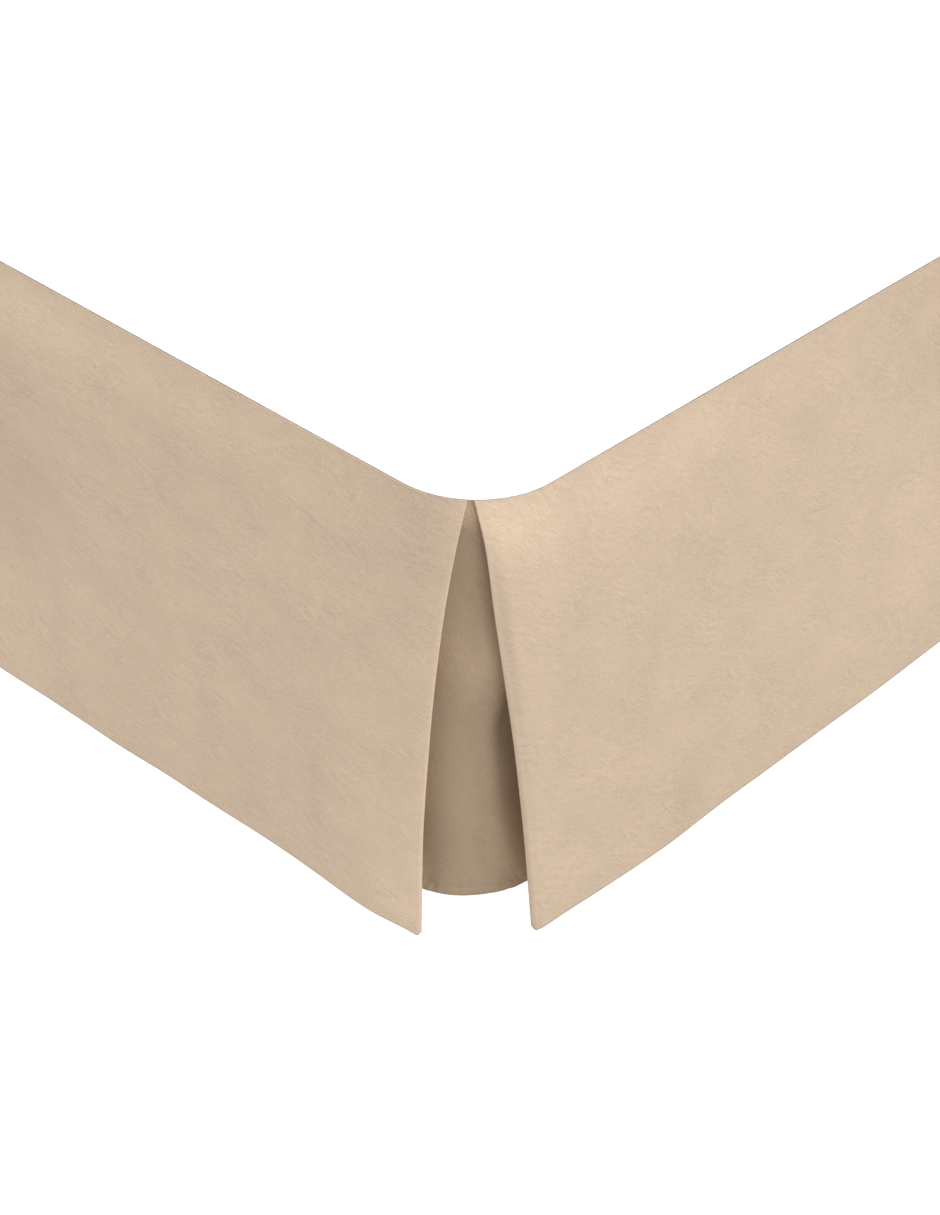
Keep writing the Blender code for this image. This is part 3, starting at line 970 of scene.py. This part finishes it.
deck_mesh.materials.append(woven_cloth("deck_cloth", (0.90, 0.895, 0.885), 1400.0, 0.6, 0.9))
finish_with(deck, "SOLIDIFY", thickness=DECK_CLOTH, offset=0)
close_up(deck)
white_thread = thread_material("white_thread", (0.86, 0.855, 0.84))
deck_stitch = add_stitch(0.0034, 0.00024)
seam_line = []
seam_radius = deck_radius - DECK_STITCH
seam_x = deck_half - DECK_STITCH
seam_plan = [Vector((seam_x, deck_head - 0.004))]
for k in range(25):
    angle = -pi / 2 * k / 24
    middle = Vector((deck_half - deck_radius, deck_foot + deck_radius))
    seam_plan.append(middle + seam_radius * Vector((cos(angle), sin(angle))))
seam_plan += [Vector((-p.x, p.y)) for p in seam_plan[::-1]]
measure = 0.0
for k, p in enumerate(seam_plan):
    measure += (p - seam_plan[max(k - 1, 0)]).length
    seam_line.append((Vector((p.x, p.y, DECK_HIGH)), Vector((0, 0, 1)), measure))
deck_stitching = sew("deck_edge_stitching", seam_line, 0.0045, deck_stitch, white_thread)
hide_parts("deck_panel")
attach(deck, "root")


# Bed base
# The plain covered foundation that carries the deck. Its cover is sewn along the upper and
# lower edge of the border, and a thin dust cover closes it from below.
BASE_HEIGHT = 0.127
BASE_INSET = 0.0085
BASE_CORNER = 0.100
BASE_EDGE = 0.006
BASE_SEAMS = (0.018, 0.022)
BASE_SEAM_DEPTH = 0.0016
DUST_COVER_MARGIN = 0.030
base_top = UNDER_DECK
base_bottom = base_top - BASE_HEIGHT
base_foot = FOOT_Y + BASE_INSET
base_width = 2 * (SIDE_X - BASE_INSET)
base_length = -FOOT_Y - base_foot

bpy.ops.object.select_all(action="DESELECT")
bpy.ops.mesh.primitive_cube_add(
    size=1,
    location=(0, base_foot + base_length / 2, (base_top + base_bottom) / 2),
    scale=(base_width, base_length, BASE_HEIGHT),
)
base = bpy.context.object
base.name = "bed_base_cover"
bpy.ops.object.transform_apply(location=True, rotation=True, scale=True)


def select_edges(piece, wanted):
    """Selects edges in edit mode by a test, and nothing else."""
    bpy.ops.mesh.select_all(action="DESELECT")
    bpy.ops.mesh.select_mode(type="EDGE")
    bm = bmesh.from_edit_mesh(piece.data)
    for item in bm.edges:
        item.select_set(bool(wanted(item)))
    bmesh.update_edit_mesh(piece.data)


def is_rim(item):
    """True for the edges round the top and the bottom face."""
    levels = [v.co.z for v in item.verts]
    flat = abs(levels[0] - levels[1]) < 1e-5
    return flat and min(abs(levels[0] - base_top), abs(levels[0] - base_bottom)) < 1e-5


bpy.ops.object.mode_set(mode="EDIT")
select_edges(base, lambda e: abs(e.verts[0].co.z - e.verts[1].co.z) > BASE_HEIGHT / 2)
bpy.ops.mesh.bevel(offset=BASE_CORNER, segments=14, affect="EDGES")
select_edges(base, is_rim)
bpy.ops.mesh.bevel(offset=BASE_EDGE, segments=4, affect="EDGES")
for level in [base_bottom + s for s in BASE_SEAMS] + [base_top - s for s in BASE_SEAMS]:
    bpy.ops.mesh.select_all(action="SELECT")
    bpy.ops.mesh.bisect(plane_co=(0, 0, level), plane_no=(0, 0, 1))
bpy.ops.mesh.select_mode(type="FACE")
bpy.ops.mesh.select_all(action="DESELECT")
seam_levels = [base_bottom + sum(BASE_SEAMS) / 2, base_top - sum(BASE_SEAMS) / 2]
select_faces(base, lambda f: min(abs(f.calc_center_median().z - z) for z in seam_levels) < 0.0015)
bpy.ops.transform.shrink_fatten(value=-BASE_SEAM_DEPTH)
bpy.ops.mesh.select_all(action="DESELECT")
select_faces(base, lambda f: f.normal.z < -0.99)
bpy.ops.mesh.inset(thickness=DUST_COVER_MARGIN)
bpy.ops.mesh.inset(thickness=0.002, depth=-0.002)
bpy.ops.object.mode_set(mode="OBJECT")
base.data.materials.append(woven_cloth("base_cover", (0.74, 0.715, 0.665), 520.0, 1.0, 0.85))
close_up(base, 35)
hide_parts("bed_base")
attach(base, "root")


# Legs
# Six turned legs of dark stained wood, screwed under the base, each on a thin felt glide.
LEG_TOP_RADIUS = 0.028
LEG_FOOT_RADIUS = 0.022
LEG_INSET = 0.190
LEG_COLLAR = 0.012
LEG_EDGE = 0.0018
FELT_THICKNESS = 0.003
FELT_RADIUS = 0.020
leg_top = base_bottom - 0.0003
leg_height = leg_top - FELT_THICKNESS

bpy.ops.mesh.primitive_cylinder_add(
    vertices=48,
    radius=LEG_TOP_RADIUS,
    depth=leg_height,
    location=(0, 0, FELT_THICKNESS + leg_height / 2),
)
leg_model = bpy.context.object
bpy.ops.object.transform_apply(location=True, rotation=True, scale=True)
bpy.ops.object.mode_set(mode="EDIT")
bpy.ops.mesh.select_all(action="SELECT")
bpy.ops.mesh.bisect(plane_co=(0, 0, leg_top - LEG_COLLAR), plane_no=(0, 0, 1))
bpy.ops.mesh.select_all(action="DESELECT")
select_faces(leg_model, lambda f: f.normal.z < -0.9)
shrink = LEG_FOOT_RADIUS / LEG_TOP_RADIUS
bpy.ops.transform.resize(value=(shrink, shrink, 1))
bpy.ops.mesh.select_all(action="DESELECT")
select_edges(leg_model, lambda e: abs(e.verts[0].co.z - e.verts[1].co.z) < 1e-5)
bpy.ops.mesh.bevel(offset=LEG_EDGE, segments=3, affect="EDGES")
bpy.ops.mesh.select_mode(type="FACE")
bpy.ops.mesh.select_all(action="DESELECT")
bpy.ops.mesh.primitive_cylinder_add(
    vertices=36, radius=FELT_RADIUS, depth=FELT_THICKNESS, location=(0, 0, FELT_THICKNESS / 2)
)
bpy.ops.object.mode_set(mode="OBJECT")


def stained_wood(name, colour):
    """Dark stained, satin wood with its grain along the leg."""
    material, tree, shader = new_material(name)
    place = add_node(tree, "TexCoord").outputs["Object"]
    drawn = add_node(tree, "Mapping", {"Vector": place, "Scale": (60, 60, 5)})
    grain = add_node(tree, "TexNoise", {"Vector": drawn.outputs[0], "Scale": 6.0, "Detail": 6.0})
    level = add_node(tree, "MapRange", {0: grain.outputs["Fac"], 1: 0.3, 2: 0.7, 3: 0.6, 4: 1.5})
    dyed = add_node(tree, "VectorMath", {0: colour, "Scale": level.outputs[0]}, operation="SCALE")
    tree.links.new(dyed.outputs[0], shader.inputs["Base Color"])
    gloss = add_node(tree, "MapRange", {0: grain.outputs["Fac"], 3: 0.38, 4: 0.55})
    tree.links.new(gloss.outputs[0], shader.inputs["Roughness"])
    bump = add_node(tree, "Bump", {"Height": grain.outputs["Fac"], "Strength": 0.2, "Distance": 0.0002})
    tree.links.new(bump.outputs[0], shader.inputs["Normal"])
    return material


def felt(name, colour):
    """Pressed felt."""
    material, tree, shader = new_material(name)
    place = add_node(tree, "TexCoord").outputs["Object"]
    fibres = add_node(tree, "TexNoise", {"Vector": place, "Scale": 900.0, "Detail": 5.0})
    level = add_node(tree, "MapRange", {0: fibres.outputs["Fac"], 3: 0.7, 4: 1.3})
    dyed = add_node(tree, "VectorMath", {0: colour, "Scale": level.outputs[0]}, operation="SCALE")
    tree.links.new(dyed.outputs[0], shader.inputs["Base Color"])
    bump = add_node(tree, "Bump", {"Height": fibres.outputs["Fac"], "Strength": 0.5, "Distance": 0.0005})
    tree.links.new(bump.outputs[0], shader.inputs["Normal"])
    shader.inputs["Roughness"].default_value = 0.95
    return material


leg_model.data.materials.append(stained_wood("leg_wood", (0.075, 0.048, 0.034)))
leg_model.data.materials.append(felt("felt_glide", (0.10, 0.10, 0.10)))
for face in leg_model.data.polygons:
    face.material_index = int(max(leg_model.data.vertices[v].co.z for v in face.vertices) < 0.0031)
close_up(leg_model, 35)
for row, y in (("foot", FOOT_Y + LEG_INSET), ("middle", 0.0), ("head", -FOOT_Y - LEG_INSET)):
    for name, side in (("right", 1), ("left", -1)):
        leg = leg_model.copy()
        leg.data = leg_model.data.copy()
        leg.name = "turned_leg_" + row + "_" + name
        leg.data.transform(Matrix.Translation((side * (SIDE_X - LEG_INSET), y, 0)))
        bpy.context.scene.collection.objects.link(leg)
        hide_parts("leg_" + row + "_" + name)
        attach(leg, "root")
for model in (leg_model, skirt_stitch, deck_stitch):
    bpy.data.objects.remove(model)


# Floor, light and picture
# A white studio floor in a soft white room. A soft light at each side rakes over one drop and
# leaves the pleat in shade. Weaker ones stand in front, hang above and shine on the top edge.
FLOOR_WHITE = 1.10
FLOOR_LIGHT = 0.20

bpy.ops.mesh.primitive_plane_add(size=30, location=(0, 0, 0))
floor = bpy.context.object
floor.name = "floor"
floor_material, tree, shader = new_material("floor_white")
shader.inputs["Base Color"].default_value = (0.14, 0.14, 0.14, 1)
shader.inputs["Roughness"].default_value = 1.0
shader.inputs["Specular IOR Level"].default_value = 0.0
shader.inputs["Emission Color"].default_value = (1, 1, 1, 1)
seen = add_node(tree, "LightPath").outputs["Is Camera Ray"]
glow = add_node(tree, "MapRange", {0: seen, 3: FLOOR_LIGHT, 4: FLOOR_WHITE})
tree.links.new(glow.outputs[0], shader.inputs["Emission Strength"])
floor.data.materials.append(floor_material)

world = bpy.data.worlds.new("soft_room")
bpy.context.scene.world = world
world.use_nodes = True
world.node_tree.nodes["Background"].inputs["Color"].default_value = (1, 1, 1, 1)
world.node_tree.nodes["Background"].inputs["Strength"].default_value = 0.38


def add_light(name, towards, strength, softness):
    """A distant soft light that shines from one direction."""
    bpy.ops.object.light_add(type="SUN", location=Vector(towards) * 4)
    light = bpy.context.object
    light.name = name
    light.data.energy = strength
    light.data.angle = radians(softness)
    light.rotation_euler = Vector(towards).to_track_quat("Z", "Y").to_euler()


add_light("right_light", (1.0, 0.30, 0.90), 1.82, 30)
add_light("front_light", (1.0, -0.50, 0.90), 0.97, 30)
add_light("left_light", (-0.70, -1.0, 0.70), 1.98, 40)
add_light("top_light", (0.0, 0.0, 1.0), 0.74, 20)

bpy.ops.object.light_add(type="AREA", location=(SIDE_X + 0.30, FOOT_Y + 0.06, TOP + 0.14))
lamp = bpy.context.object
lamp.name = "corner_lamp"
lamp.data.energy = 0.16
lamp.data.size = 0.15
lamp.visible_camera = False
lamp.rotation_euler = Vector((0.30, 0.0, 0.16)).to_track_quat("Z", "Y").to_euler()
bpy.context.scene.view_settings.view_transform = "Standard"
